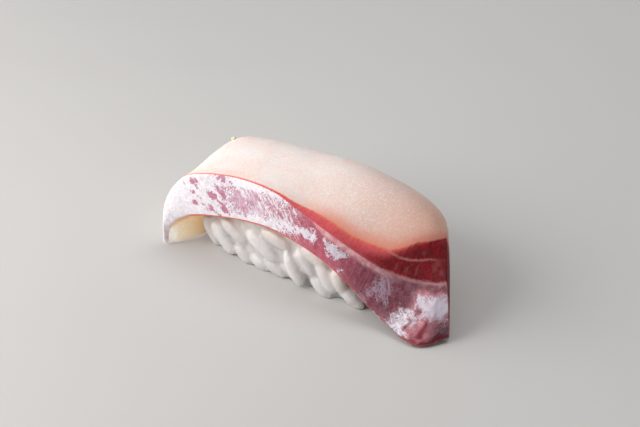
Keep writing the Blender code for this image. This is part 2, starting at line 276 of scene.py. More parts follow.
def rawRow(at):
    last = len(sectionRows) - 1
    place = min(max(at, 0.0), 1.0) * last
    first = min(int(place), last - 1)
    part = place - first
    a, b, c, d = (sectionRows[min(max(first + step, 0), last)] for step in (-1, 0, 1, 2))
    bend, twist = 2 * a - 5 * b + 4 * c - d, 3 * b - a - 3 * c + d
    return 0.5 * (2 * b + (c - a) * part + bend * part**2 + twist * part**3)


def splineRow(at):
    # The rows' curve with its small swings ironed out, and its two ends kept.
    at = min(max(at, 0.0), 1.0)
    reach = min(0.012 + 0.04 * min(max((at - 0.74) / 0.1, 0.0), 1.0), at, 1 - at)
    weights = ((-1, 0.15), (-0.5, 0.22), (0, 0.26), (0.5, 0.22), (1, 0.15))
    return sum(weight * rawRow(at + step * reach) for step, weight in weights)


def facingAt(at):
    before, after, here = splineRow(at - 0.04), splineRow(at + 0.04), splineRow(at)
    along = (after[0:3] + after[6:9]) - (before[0:3] + before[6:9])
    facing = np.cross(along, here[6:9] - here[0:3])
    return facing / np.linalg.norm(facing)


def endPush(at):
    # Which way a cut end bows, and how much of that reaches this place.
    fade = max(0.0, 1 - min(at, 1 - at) / sliceForm["blendAlong"])
    if fade == 0:
        return np.zeros(3)
    near = at > 0.5
    along = splineRow(1)[0:9] - splineRow(0.97)[0:9] if near else splineRow(0)[0:9] - splineRow(0.03)[0:9]
    away = along[0:3] + along[6:9]
    return away / np.linalg.norm(away) * sliceForm["endBow"] * fade


def slicePoints(at, across, up):
    # Points of one section: from skin to back and from underside to top, each 0 to 1.
    row = splineRow(at)
    upper, lower, back = row[0:3], row[3:6], row[6:9]
    riseNear, riseFar, thick, dip = row[9:13]
    facing = facingAt(at)
    across, up = np.asarray(across, float), np.asarray(up, float)
    rise = 13.5 * across * (1 - across) * ((2 / 3 - across) * riseNear + (across - 1 / 3) * riseFar)
    top = upper + np.outer(across, back - upper) + np.outer(rise, facing)
    under = lower + np.outer(across, back - facing * thick - lower)
    under += np.outer(rise * sliceForm["underRise"], facing)
    inward = np.minimum(1.0, across / 0.06)
    lack = sliceForm["leastThickness"] * inward - (top - under) @ facing
    under = under - np.outer((lack + np.sqrt(lack**2 + 0.04)) / 2 * inward, facing)
    points = under + (top - under) * up[:, None]
    bow = 4 * up * (1 - up)
    sideways = (back - upper) / np.linalg.norm(back - upper)
    thin = min(1.0, thick / 4)
    lump = sliceForm["lumpFar"] + (sliceForm["lumpNear"] - sliceForm["lumpFar"]) * max(0.0, at - 0.35) / 0.65
    push = endPush(at)
    for i, point in enumerate(points):
        nearSkin = max(0.0, 1 - across[i] / sliceForm["blendAcross"])
        nearBack = max(0.0, 1 - (1 - across[i]) / sliceForm["blendAcross"])
        if nearSkin:
            wave = noise.noise(Vector(point * 0.33)) + 0.5 * noise.noise(Vector(point * 0.8 + 9))
            swell = sliceForm["skinBow"] * bow[i] + dip * math.sin(2 * math.pi * up[i])
            point -= sideways * (swell + lump * wave * (0.35 + 0.65 * bow[i])) * nearSkin
        if nearBack:
            point += sideways * sliceForm["backBow"] * bow[i] * thin * nearBack
        if up[i] == 1:
            inside = (1 - nearSkin) * (1 - nearBack)
            point += facing * sliceForm["topLump"] * noise.noise(Vector(point * 0.16 + 4)) * thin * inside
        point += push * bow[i] * (0.4 + 2.4 * across[i] * (1 - across[i])) * thin
    return points


def crowded(count):
    even = np.linspace(0, 1, count + 1)
    return even - sliceForm["crowding"] * np.sin(2 * np.pi * even) / (2 * np.pi)


def evenStations(count):
    # Places along the slice at even steps of its own length, and that length in millimetres.
    fine = np.linspace(0, 1, 1500)
    line = np.array([splineRow(at)[0:9].reshape(3, 3) for at in fine])
    steps = np.linalg.norm(np.diff(line, axis=0), axis=2).mean(axis=1)
    length = np.r_[0, np.cumsum(steps)]
    wanted = np.linspace(0, length[-1], count + 1)
    return np.interp(wanted, length, fine), wanted


def ringPlaces():
    # Once round a section: over the top, down the back, back underneath and up the skin.
    across, up = crowded(sliceForm["cellsAcross"]), crowded(sliceForm["cellsThrough"])
    ring = [(a, 1.0) for a in across]
    ring += [(1.0, u) for u in up[-2::-1]]
    ring += [(a, 0.0) for a in across[-2::-1]]
    ring += [(0.0, u) for u in up[1:-1]]
    return np.array(ring)


def curveThrough(points, at):
    return np.interp(at, [p[0] for p in points], [p[1] for p in points])


# What shows on the slice, by place along it (0 to 1), height on the skin side (0 to 1) and millimetres.
sliceMarks = {
    # width of the dark meat on the cut face
    "bloodWidth": (
        (0.0, 0.15), (0.2, 0.2), (0.28, 0.3), (0.40, 0.42), (0.43, 0.5), (0.463, 0.65), (0.482, 0.8),
        (0.505, 1.1), (0.542, 2.0), (0.585, 2.4), (0.633, 2.3), (0.67, 2.9), (0.723, 3.8), (0.743, 5.0),
        (0.78, 7.4), (0.88, 9.5), (1.0, 10.9),
    ),
    # the pale sinew that crosses the dark meat, by distance from the skin edge
    "sinew": ((0.70, 3.6), (0.723, 3.6), (0.75, 3.3), (0.772, 3.5), (0.838, 4.6), (0.97, 5.0), (1.0, 5.2)),
    # small pale marks on the cut face: along, distance from the skin edge, half length, half width
    "paleMarks": (
        (0.81, 5.6, 0.7, 0.5), (0.873, 3.2, 0.7, 1.1), (0.90, 4.2, 0.9, 0.7), (0.775, 1.4, 0.4, 0.9),
        (0.752, 1.6, 0.3, 0.8), (0.93, 2.2, 0.9, 0.7), (0.80, 2.0, 0.35, 1.0),
    ),
    # lower limit of the pale fat under the upper edge
    "fatHeight": (
        (0.5, 1.2), (0.56, 0.99), (0.588, 0.82), (0.652, 0.82), (0.705, 0.83), (0.765, 0.82),
        (0.797, 0.82), (0.9, 0.82), (1.0, 0.83),
    ),
    # background amount of silver along the skin side
    "silver": (
        (0.0, 1.9), (0.27, 1.4), (0.31, 0.9), (0.36, 0.6), (0.39, 0.2), (0.41, -0.35), (0.46, -0.45),
        (0.50, -0.6), (0.60, -0.95), (0.68, -1.15), (0.80, -0.95), (1.0, -0.7),
    ),
    # silver patches, or bare ones where the amount is negative: along, height, half sizes, lean, amount
    "patches": (
        (0.302, 0.37, 0.8, 0.8, 0.5, -3.0), (0.360, 0.53, 1.0, 0.9, 0.6, -2.6),
        (0.375, 0.28, 0.8, 1.7, 0.5, -2.4), (0.348, 0.22, 0.6, 1.1, 0.5, -2.2),
        (0.335, 0.20, 0.4, 1.1, 0.5, -1.9), (0.378, 0.63, 0.7, 1.4, 0.6, -2.0),
        (0.333, 0.82, 0.7, 1.0, 0.4, -1.7), (0.285, 0.90, 0.5, 0.9, 0.3, -2.0),
        (0.390, 0.92, 0.9, 0.9, 0.2, -1.6), (0.318, 0.60, 0.4, 0.6, 0.5, -1.9),
        (0.325, 0.45, 0.4, 0.5, 0.5, -1.7), (0.357, 0.06, 0.6, 0.7, 0.4, -1.5),
        (0.383, 0.95, 1.3, 0.5, 0.0, -1.2), (0.413, 0.46, 2.0, 2.2, 0.4, -0.8),
        (0.443, 0.54, 2.4, 2.3, 0.3, -0.4), (0.425, 0.93, 4.2, 1.0, 0.0, 1.9),
        (0.475, 0.95, 3.2, 0.7, 0.0, 1.4), (0.44, 0.10, 5.0, 1.3, 0.0, 1.5),
        (0.39, 0.06, 3.0, 1.1, 0.0, 1.0), (0.430, 0.45, 0.3, 3.0, 0.9, 1.1),
        (0.456, 0.62, 0.3, 2.0, 0.9, 1.0), (0.480, 0.24, 3.0, 1.2, 0.0, 1.2),
        (0.516, 0.40, 2.6, 0.9, -0.2, 1.45), (0.545, 0.53, 2.2, 0.9, -0.2, 1.7),
        (0.566, 0.62, 1.2, 0.8, 0.0, 1.2), (0.498, 0.78, 0.4, 1.6, 0.5, 1.1),
        (0.512, 0.72, 0.35, 1.6, 0.7, 1.0), (0.525, 0.85, 0.4, 1.2, 0.5, 1.0),
        (0.612, 0.60, 2.3, 1.3, 0.2, 1.7), (0.634, 0.70, 1.3, 0.9, 0.2, 1.3),
        (0.645, 0.28, 0.9, 0.7, 0.2, 1.2), (0.745, 0.66, 1.9, 2.3, 0.3, 1.75),
        (0.752, 0.50, 1.0, 1.6, 0.6, 1.0), (0.723, 0.10, 1.1, 1.1, 0.0, 1.6),
        (0.730, 0.40, 1.1, 0.9, 0.3, 1.3), (0.808, 0.24, 2.0, 2.4, 0.2, 2.1),
        (0.832, 0.44, 1.5, 1.6, 0.2, 1.5), (0.885, 0.62, 2.3, 2.0, 0.1, 2.0),
        (0.945, 0.62, 2.0, 1.9, 0.0, 2.6), (0.962, 0.50, 1.2, 1.4, 0.0, 1.4),
        (0.785, 0.08, 1.3, 1.3, 0.0, 1.6), (0.845, 0.66, 0.9, 0.9, 0.2, 1.4),
        (0.838, 0.20, 0.7, 1.6, 0.1, -1.0), (0.872, 0.30, 0.8, 1.4, 0.1, -1.0),
        (0.850, 0.42, 0.4, 1.2, 0.1, -1.0),
    ),
    # where the skin shows upright streaks, by along and amount
    "streaks": ((0.58, 0.0), (0.625, 0.8), (0.70, 1.0), (0.73, 0.8), (0.78, 0.4), (0.81, 0.0)),
    # red spots at the near tip: along, height, half length, half height
    "redSpots": (
        (0.826, 0.33, 0.4, 1.3), (0.873, 0.26, 0.7, 1.4), (0.890, 0.38, 0.45, 1.1),
        (0.847, 0.54, 0.35, 0.9), (0.850, 0.14, 0.5, 1.0), (0.85, 0.03, 3.0, 1.0), (0.93, 0.08, 1.5, 1.2),
    ),
}


def patchField(marks, height, length, tall, arc):
    # A soft bump for each mark: its amount in the middle and 0 at its rim.
    total = np.zeros(len(arc))
    for place, level, halfLong, halfTall, *more in marks:
        lean, amount = more if len(more) == 2 else (0.0, 1.0)
        dx = arc - np.interp(place, length[0], length[1])
        dz = (height - level) * tall
        dx = dx + dz * lean
        near = (dx / (halfLong * 1.35)) ** 2 + (dz / (halfTall * 1.35)) ** 2
        total += amount * np.clip(1 - near, 0, 1) ** 1.2
    return total


def addField(mesh, name, values):
    kind, part = ("FLOAT_VECTOR", "vector") if values.ndim == 2 else ("FLOAT", "value")
    made = mesh.attributes.new(name, kind, "POINT")
    made.data.foreach_set(part, np.ascontiguousarray(values, np.float32).ravel())


def makeSliceMesh():
    stations, lengths = evenStations(sliceForm["cellsAlong"])
    ring = ringPlaces()
    around = len(ring)
    points = [slicePoints(at, ring[:, 0], ring[:, 1]) for at in stations]
    places = [np.column_stack([np.full(around, at), ring]) for at in stations]
    faces, parts = [], []
    countAcross, countThrough = sliceForm["cellsAcross"], sliceForm["cellsThrough"]
    firstUnder, firstSkin = countAcross + countThrough, 2 * countAcross + countThrough
    for i in range(len(stations) - 1):
        a, b = i * around, (i + 1) * around
        for j in range(around):
            k = (j + 1) % around
            faces.append((a + j, b + j, b + k, a + k))
            parts.append(1 if j >= firstSkin else 2 if j >= firstUnder else 0)
    # The two cut ends: a grid inside the ring.
    across, up = crowded(countAcross), crowded(countThrough)
    total = len(stations) * around
    for end, at in ((0, 0.0), (len(stations) - 1, 1.0)):
        inner = [(a, u) for a in across[1:-1] for u in up[1:-1]]
        points.append(slicePoints(at, [p[0] for p in inner], [p[1] for p in inner]))
        places.append(np.column_stack([np.full(len(inner), at), np.array(inner)]))
        start, base = total, end * around

        def corner(j, k):
            if k == countThrough:
                return base + j
            if j == countAcross:
                return base + countAcross + (countThrough - k)
            if k == 0:
                return base + countAcross + countThrough + (countAcross - j)
            if j == 0:
                return base + 2 * countAcross + countThrough + k
            return start + (j - 1) * (countThrough - 1) + (k - 1)

        for j in range(countAcross):
            for k in range(countThrough):
                loop = (corner(j, k), corner(j + 1, k), corner(j + 1, k + 1), corner(j, k + 1))
                faces.append(loop if end else loop[::-1])
                parts.append(0 if end else 2)
        total += len(inner)
    points, places = np.concatenate(points), np.concatenate(places)
    mesh = bpy.data.meshes.new("fishSlice")
    mesh.from_pydata(points * mm, [], faces)
    mesh.polygons.foreach_set("material_index", parts)
    mesh.shade_smooth()
    return mesh, places, stations, lengths


def softenEdges(obj, places, tall, wide, arc, arcEnd):
    # Wears the cut edges round: weights fall away from each edge, and a smoothing runs under them.
    at, across, up = places.T
    fromUpper = np.hypot(across * wide, (1 - up) * tall)
    fromLower = np.hypot(across * wide, up * tall) + 0.5 * np.clip(1 - np.abs(at - 0.865) / 0.03, 0, 1)
    fromBack = np.hypot((1 - across) * wide, np.minimum(up, 1 - up) * tall)
    fromSides = np.minimum(np.minimum(across, 1 - across) * wide, np.minimum(up, 1 - up) * tall)
    fromEnds = np.hypot(np.minimum(arc, arcEnd - arc), fromSides)
    softUpper = np.interp(at, (0.55, 0.75), (sliceForm["softUpper"], sliceForm["softUpperNear"]))
    weight = np.zeros(len(at))
    for distance, radius in (
        (fromUpper, softUpper), (fromLower, sliceForm["softLower"]),
        (fromBack, sliceForm["softBack"]), (fromEnds, sliceForm["softEnd"]),
    ):
        weight = np.maximum(weight, np.clip(1 - distance / radius, 0, 1))
    inland = np.clip((across - 0.08) / 0.1, 0, 1) * (up > 0.5)
    weight = np.maximum(weight, np.clip((at - 0.84) / 0.06, 0, 0.7) * inland)
    group = obj.vertex_groups.new(name="softEdges")
    for level in range(1, 11):
        chosen = np.nonzero(np.round(weight * 10).astype(int) == level)[0]
        if len(chosen):
            group.add(chosen.tolist(), level / 10, "REPLACE")
    smooth = obj.modifiers.new("wornEdges", "SMOOTH")
    smooth.factor = 0.5
    smooth.iterations = sliceForm["softPasses"]
    smooth.vertex_group = group.name


def applied(obj):
    bpy.context.view_layer.update()
    made = bpy.data.meshes.new_from_object(obj.evaluated_get(bpy.context.evaluated_depsgraph_get()))
    obj.modifiers.clear()
    obj.vertex_groups.clear()
    obj.data = made
    return made


def vertexValues(mesh, name):
    found = np.empty(len(mesh.vertices) * 3, np.float32)
    mesh.vertices.foreach_get(name, found)
    return found.reshape(-1, 3).astype(float)


def pushOut(mesh, relief):
    # Moves every point along its normal, by so many millimetres.
    moved = vertexValues(mesh, "co") + vertexValues(mesh, "normal") * (relief * mm)[:, None]
    mesh.vertices.foreach_set("co", moved.astype(np.float32).ravel())


def makeSlice():
    mesh, places, stations, lengths = makeSliceMesh()
    obj = linked(bpy.data.objects.new("fishSlice", mesh))
    at, across, up = places.T
    rows = np.array([splineRow(a) for a in stations])
    tallAll = np.linalg.norm(rows[:, 0:3] - rows[:, 3:6], axis=1)
    wideAll = np.linalg.norm(rows[:, 6:9] - rows[:, 0:3], axis=1) * 1.06
    thickAll = rows[:, 11]
    tall = np.interp(at, stations, tallAll) * (1 - across) + np.interp(at, stations, thickAll) * across
    wide = np.interp(at, stations, wideAll)
    arc = np.interp(at, stations, lengths)
    softenEdges(obj, places, tall, wide, arc, lengths[-1])
    mesh = applied(obj)
    onSkin = across == 0
    sliceLength = (stations, lengths)

    blood = curveThrough(sliceMarks["bloodWidth"], at) - across * wide
    sinew = np.abs(curveThrough(sliceMarks["sinew"], at) - across * wide)
    sinew = np.where((at > 0.70) & (up > 0.5), sinew, 9.0)
    marks = patchField(sliceMarks["paleMarks"], across * wide, sliceLength, np.ones(len(at)), arc)
    marks = marks * (up > 0.5)
    fat = (up - curveThrough(sliceMarks["fatHeight"], at)) * tall
    warpAlong, warpUp = np.zeros(len(at)), np.zeros(len(at))
    for i in np.nonzero(onSkin)[0]:
        spot = Vector((arc[i] * 0.75, 5, up[i] * tall[i] * 0.75))
        warpAlong[i] = noise.noise(spot) * sliceForm["patchWarp"]
        warpUp[i] = noise.noise(spot + Vector((0, 19, 0))) * sliceForm["patchWarp"]
    wobbly = (up + warpUp / tall, sliceLength, tall, arc + warpAlong)
    silver = curveThrough(sliceMarks["silver"], at) + patchField(sliceMarks["patches"], *wobbly)
    streaks = curveThrough(sliceMarks["streaks"], at)
    redSpots = patchField(sliceMarks["redSpots"], *wobbly)

    # Relief of the skin side: silver flakes stand up a little, streaks are ridges and the near tip is lumpy.
    flat = np.column_stack([arc, across * wide, up * tall])
    relief = np.zeros(len(at))
    for i in np.nonzero(onSkin)[0]:
        spot = Vector(flat[i])
        edge = min(1.0, 4 * up[i] * (1 - up[i]) * 2.5)
        fray = noise.fractal(spot * 0.9, 1.0, 2.0, 3)
        flake = min(max((silver[i] + fray * 0.8) * 2.5, 0.0), 1.0)
        ridge = noise.noise(Vector((spot.x * 1.9, 0, spot.z * 0.25)))
        tip = min(max((at[i] - 0.74) / 0.08, 0.0), 1.0)
        lump = noise.fractal(spot * 0.55 + Vector((3, 0, 7)), 0.9, 2.0, 3)
        relief[i] = edge * (0.05 * flake + 0.07 * streaks[i] * ridge + 0.22 * tip * lump)
    # The lower edge of the near half is torn into small teeth.
    torn = np.clip((at - 0.64) / 0.06, 0, 1) * np.clip(1 - up * tall / 1.1, 0, 1)
    torn = torn * np.clip(1 - across * wide, 0, 1)
    for i in np.nonzero(torn)[0]:
        relief[i] -= sliceForm["tornDepth"] * torn[i] * abs(noise.noise(Vector((arc[i] * 0.95, 3, 0)))) * 2
    pushOut(mesh, relief)

    fields = {
        "place": flat, "blood": blood, "sinew": sinew, "paleMarks": marks, "fat": fat, "silver": silver,
        "streaks": streaks, "redSpots": redSpots, "along": at, "heightOnSkin": up * tall,
        "fromTop": (1 - up) * tall, "under": np.maximum(np.clip(1 - up * tall / 0.5, 0, 1), at < 0.004),
    }
    for name, values in fields.items():
        addField(mesh, name, values)
    # The thin far tip lets light through from behind, so its underside scatters further.
    mesh.materials.append(makeFleshMaterial("wetFlesh", fleshLook["body"]))
    mesh.materials.append(makeSkinMaterial())
    mesh.materials.append(makeFleshMaterial("fleshUnderside", fleshLook["underBody"]))
    return obj


fleshLook = {
    "pale": (0.90, 0.80, 0.76, 1), "cream": (0.88, 0.73, 0.66, 1), "warm": (0.71, 0.37, 0.25, 1),
    # the under colour is a painted glow: peach standing in for light shining through the thin flap
    "band": (0.86, 0.66, 0.59, 1), "strip": (0.88, 0.58, 0.49, 1), "under": (1.0, 0.64, 0.44, 1),
    # the dash and bead colours are painted glints: small highlights lightened into the flesh
    "strand": (1, 0.95, 0.92, 1), "dashGlint": (1, 0.98, 0.97, 1), "beadGlint": (1, 1, 1, 1),
    "blush": (0.80, 0.32, 0.22, 1), "nearBlush": (0.56, 0.20, 0.15, 1),
    "orangeRed": (0.84, 0.18, 0.13, 1), "brightRed": (0.78, 0.14, 0.16, 1),
    "nearRed": (0.26, 0.006, 0.012, 1), "redStrand": (0.28, 0.006, 0.014, 1),
    "deepRed": (0.17, 0.003, 0.007, 1), "darkRed": (0.085, 0.0, 0.003, 1),
    "dullRed": (0.09, 0.010, 0.012, 1), "crimson": (0.36, 0.006, 0.016, 1),
    "edgeFat": (0.46, 0.20, 0.21, 1), "sinew": (0.62, 0.27, 0.25, 1),
    "roughness": (0.30, 0.44), "bump": (0.09 * mm, 0.9), "beads": (2.2, 0.30),
    "beadStretch": (1.0, 0.45, 0.45),
    "body": (0.7, (1.0, 0.52, 0.38), 3.6 * mm, 0.10, 0.04, 0.16),
    "underBody": (1.0, (1.0, 0.66, 0.50), 4.5 * mm, 0.10, 0.04, 0.16),
    # changes along the slice: from, to and, where they aren't 0 and 1, the amounts there
    "along": {
        "warmer": (0.42, 0.88), "banded": (0.55, 0.2, 0.12, 0.42), "stripStart": (0.12, 0.22),
        "stripEnd": (0.50, 0.38), "dashed": (0.55, 0.85, 0.36, 0.14), "beaded": (0.6, 0.85, 0.6, 0.3),
        "stained": (0.46, 0.60), "nearBlush": (0.70, 0.85), "nearRed": (0.68, 0.80),
        "orangeRed": (0.84, 0.72), "deeper": (0.60, 0.76, 0.12, 1.0), "dull": (0.84, 0.97),
        "streaky": (0.68, 0.80, 0.0, 0.75),
        "sinew": (0.82, 0.92, 0.55, 0.15), "edgeFat": (0.56, 0.66, 0.0, 0.75),
    },
    # turn, stretch and detail of each kind of strand
    "strands": {
        "fine": ((0, 0, 0.25), (2.6, 0.7, 0.7), 4.0), "bands": ((0, 0, -0.06), (0.045, 0.42, 0.42), 2.0),
        "dashes": ((0, 0, 0.3), (4.2, 1.5, 1.5), 1.0), "red": ((0, 0, 0.1), (3.2, 0.8, 1.5), 3.0),
        "cross": ((0, 0, 0.12), (1.5, 0.22, 1.0), 3.0),
    },
    # fineness, reach and softness of each frayed edge
    "frayed": {
        "strip": (0.35, 3.0, 0.8), "blood": (1.6, 0.7, 0.28), "sinew": (2.2, 0.8, 0.25),
        "marks": (2.6, 3.0, 0.7), "lip": (1.1, 1.3, 0.3),
    },
    # changes by millimetres inside the edge of the dark meat
    "inBlood": {"stain": (-4.8, 0.2), "orangeRed": (0.9, 0.1), "deeper": (0.5, 2.4), "dull": (4.0, 7.5)},
}


def makeFleshMaterial(name, body):
    made, paint = newMaterial(name, fleshLook)
    fit, times, blend, along = paint.fit, paint.times, paint.blend, paint.along
    paint.place, paint.at = paint.field("place", "Vector"), paint.field("along")
    blood = paint.field("blood")
    inBlood = {change: fit(blood, *reach) for change, reach in fleshLook["inBlood"].items()}
    inset = paint.put("SeparateXYZ", {0: paint.place}).outputs["Y"]
    strands = paint.strands("fine")
    beads = paint.beads(paint.drawOut(paint.place, fleshLook["beadStretch"]))
    colour = blend(along("warmer"), paint.clouds("pale", "cream", 0.16), "warm")
    colour = blend(times(paint.strands("bands"), along("banded")), colour, "band")
    # A warmer strip runs beside the skin on the far half.
    strip = paint.frayed(paint.less(2.6, inset), "strip")
    colour = blend(times(along("stripStart"), along("stripEnd"), strip), colour, "strip", 0.5)
    # Painted glow: the underside and the far cut end are tinted peach for light shining through the thin
    # flap; their material also scatters light for real.
    colour = blend(paint.field("under"), colour, "under", 0.9)
    colour = blend(strands, colour, "strand", 0.10)
    # Painted glints: white dashes and wet beads lighten the colour as small highlights.
    colour = blend(times(paint.power(paint.strands("dashes"), 3.0), along("dashed")), colour, "dashGlint")
    colour = blend(times(beads, along("beaded")), colour, "beadGlint")
    # Blood tints the flesh beside the dark meat.
    stained = times(inBlood["stain"], along("stained"))
    blush = blend(along("nearBlush"), "blush", "nearBlush")
    colour = blend(paint.power(stained, 1.5), colour, blush, 0.95)
    red = blend(along("nearRed"), "brightRed", "nearRed")
    red = blend(times(inBlood["orangeRed"], along("orangeRed")), red, "orangeRed")
    deep = times(inBlood["deeper"], along("deeper"))
    red = blend(deep, red, paint.clouds("deepRed", "darkRed", 1.0))
    red = blend(times(paint.power(paint.drift(0.5), 2.0), deep), red, "crimson", 0.6)
    red = blend(times(inBlood["dull"], along("dull")), red, "dullRed", 0.6)
    red = blend(paint.strands("red"), red, "redStrand", 0.3)
    red = blend(times(paint.power(paint.strands("cross"), 2.0), along("streaky")), red, "darkRed")
    colour = blend(paint.frayed(blood, "blood"), colour, red)
    thread = times(paint.frayed(paint.less(0.20, paint.field("sinew")), "sinew"), along("sinew"))
    marks = times(paint.frayed(paint.less(paint.field("paleMarks"), 0.35), "marks"), 0.14)
    colour = blend(paint.larger(thread, marks), colour, "sinew")
    # The fat below the skin's edge frays a little into the dark meat.
    lip = paint.frayed(paint.less(0.18, inset), "lip")
    colour = blend(times(lip, along("edgeFat")), colour, "edgeFat")
    rough = paint.less(fit(strands, 0, 1, *fleshLook["roughness"]), times(beads, 0.15))
    height = paint.plus(times(strands, 0.5), times(beads, 0.8))
    paint.finish(colour, rough, (height, *fleshLook["bump"]), body)
    return made


skinLook = {
    "silver": (0.99, 0.99, 1.0, 1), "silverShade": (0.88, 0.87, 0.93, 1), "tipShadeSilver": (0.58, 0.55, 0.62, 1),
    "greySilver": (0.44, 0.38, 0.47, 1), "coolSilver": (0.74, 0.70, 0.80, 1), "haze": (0.78, 0.66, 0.75, 1),
    "mauve": (0.62, 0.29, 0.41, 1), "mauveShade": (0.52, 0.20, 0.31, 1), "rose": (0.54, 0.12, 0.17, 1),
    "roseShade": (0.42, 0.075, 0.12, 1), "plum": (0.165, 0.014, 0.027, 1), "dusk": (0.056, 0.022, 0.033, 1),
    "streak": (0.42, 0.10, 0.15, 1), "tipPink": (0.50, 0.18, 0.21, 1),
    "fat": (0.97, 0.63, 0.63, 1), "fatShade": (0.80, 0.38, 0.41, 1), "fatInShade": (0.17, 0.070, 0.083, 1),
    "fatLip": (0.42, 0.25, 0.265, 1), "red": (0.70, 0.08, 0.05, 1), "spot": (0.20, 0.020, 0.030, 1),
    "rawEdge": (0.36, 0.10, 0.10, 1),
    "roughness": (0.34, 0.28), "bump": (0.06 * mm, 0.8), "needles": {"Lean": 0.85, "Fineness": 1.0},
    "body": (0.3, (1.0, 0.7, 0.62), 1.2 * mm, 0.12, 0.05, 0.2),
    "along": {
        "rosy": (0.43, 0.53), "dusky": (0.59, 0.72), "tipPink": (0.795, 0.84), "tipShade": (0.89, 0.95),
        "needles": (0.66, 0.78, 1.15, 0.7), "softness": (0.58, 0.74, 0.2, 0.75), "silverTipShade": (0.83, 0.93),
        "cooler": (0.44, 0.56, 0.0, 0.6), "thinStart": (0.66, 0.71), "thinEnd": (0.80, 0.76),
        "scratchStart": (0.405, 0.43), "scratchEnd": (0.56, 0.50), "nearEnd": (0.58, 0.72),
        "hazeStart": (0.375, 0.405), "hazeEnd": (0.56, 0.44, 0.12, 0.95), "fatInShade": (0.66, 0.80),
        "fatLip": (0.66, 0.76), "rim": (0.20, 0.25), "torn": (0.64, 0.72),
    },
    "strands": {
        "upright": ((0, 0.1, 0), (2.8, 1.0, 0.22), 4.0), "scratches": ((0, 0.6, 0), (2.3, 1.0, 0.26), 2.0),
    },
    "frayed": {
        "silver": (1.3, 1.0),      # its softness changes along the slice
        "fat": (0.9, 1.3, 0.6), "spots": (1.0, 1.0, 0.65), "torn": (1.1, 1.6, 0.4),
    },
}


def makeSkinMaterial():
    made, paint = newMaterial("silverSkin", skinLook)
    fit, times, blend, along, clouds = paint.fit, paint.times, paint.blend, paint.along, paint.clouds
    paint.place, paint.at = paint.field("place", "Vector"), paint.field("along")
    height, amount = paint.field("heightOnSkin"), paint.field("silver")
    bare = blend(along("rosy"), clouds("mauve", "mauveShade", 0.6), clouds("rose", "roseShade", 0.7))
    bare = blend(along("dusky"), bare, clouds("plum", "dusk", 0.4))
    bare = blend(along("tipPink"), bare, "tipPink")
    # Painted shadow: the low part of the near tip is darkened towards dusk, as the tip's edge shades it.
    bare = blend(times(along("tipShade"), fit(height, 7.0, 3.0)), bare, "dusk", 0.85)
    streaked = times(paint.strands("upright"), paint.field("streaks"))
    bare = blend(streaked, bare, "streak", 0.7)
    # Silver lies in patches that break up into needles.
    needles = paint.shared(needleGroup, "Tone", **skinLook["needles"])
    spread = times(paint.less(needles, 0.40), along("needles"))
    silverMask = paint.frayed(paint.plus(amount, spread), "silver", along("softness"))
    # Painted shade: the silver darkens towards the near tip, which turns away from the light.
    silver = blend(along("silverTipShade"), clouds("silver", "silverShade", 1.3), "tipShadeSilver")
    silver = blend(along("cooler"), silver, "coolSilver")
    thin = times(along("thinStart"), along("thinEnd"))
    silver = blend(thin, silver, "greySilver", 0.9)
    cover = times(silverMask, fit(thin, 0.0, 1.0, 0.95, 0.62))
    # Long scratches of silver cross the rosy middle.
    drift = paint.drift(0.55)
    scratches = fit(paint.strands("scratches"), 0.58, 0.80)
    scratches = times(scratches, along("scratchStart"), along("scratchEnd"))
    cover = paint.larger(cover, times(scratches, fit(drift, 0.1, 0.6, 0.35, 0.95)))
    # Near the cut end the silver is a soft veil, thinner between its needles.
    nearEnd = times(along("nearEnd"), fit(amount, 1.6, 0.8))
    cover = times(cover, paint.less(1.0, times(nearEnd, fit(needles, 0.9, 0.2, 0.0, 0.45))))
    veil = times(fit(amount, -0.7, 1.1), nearEnd, 0.55)
    cover = paint.larger(cover, times(veil, fit(needles, 0.0, 1.0, 0.5, 1.0)))
    # A thin haze of silver is left over the bare places of the far half.
    hazy = paint.plus(times(needles, 0.45), times(drift, 0.45))
    bare = blend(times(hazy, along("hazeEnd"), along("hazeStart")), bare, "haze")
    colour = blend(cover, bare, silver)
    # Painted shade: the fat band darkens towards the near end, which lies in shade.
    fatTone = blend(along("fatInShade"), clouds("fat", "fatShade", 0.6), "fatInShade")
    lip = times(fit(paint.field("fromTop"), 1.1, 0.3), along("fatLip"))
    fatTone = blend(lip, fatTone, "fatLip", 0.75)
    fatMask = times(paint.frayed(paint.field("fat"), "fat"), fit(drift, 0.15, 0.85, 0.6, 0.95))
    colour = blend(fatMask, colour, fatTone)
    colour = blend(paint.frayed(paint.less(paint.field("redSpots"), 0.30), "spots"), colour, "spot", 0.9)
    # The thin red line along the lower edge, and the torn edge further on.
    colour = blend(times(fit(height, 0.62, 0.30), along("rim")), colour, "red")
    torn = times(paint.frayed(paint.less(0.8, height), "torn"), along("torn"))
    colour = blend(torn, colour, "rawEdge", 0.8)
    raised = paint.plus(times(silverMask, 0.6), times(streaked, 0.6))
    rough = fit(silverMask, 0, 1, *skinLook["roughness"])
    paint.finish(colour, rough, (raised, *skinLook["bump"]), skinLook["body"])
    return made


fishSlice = makeSlice()
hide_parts("fish_slice")
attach(fishSlice, "root")
print("slice made:", len(fishSlice.data.polygons), "faces")


# the rice

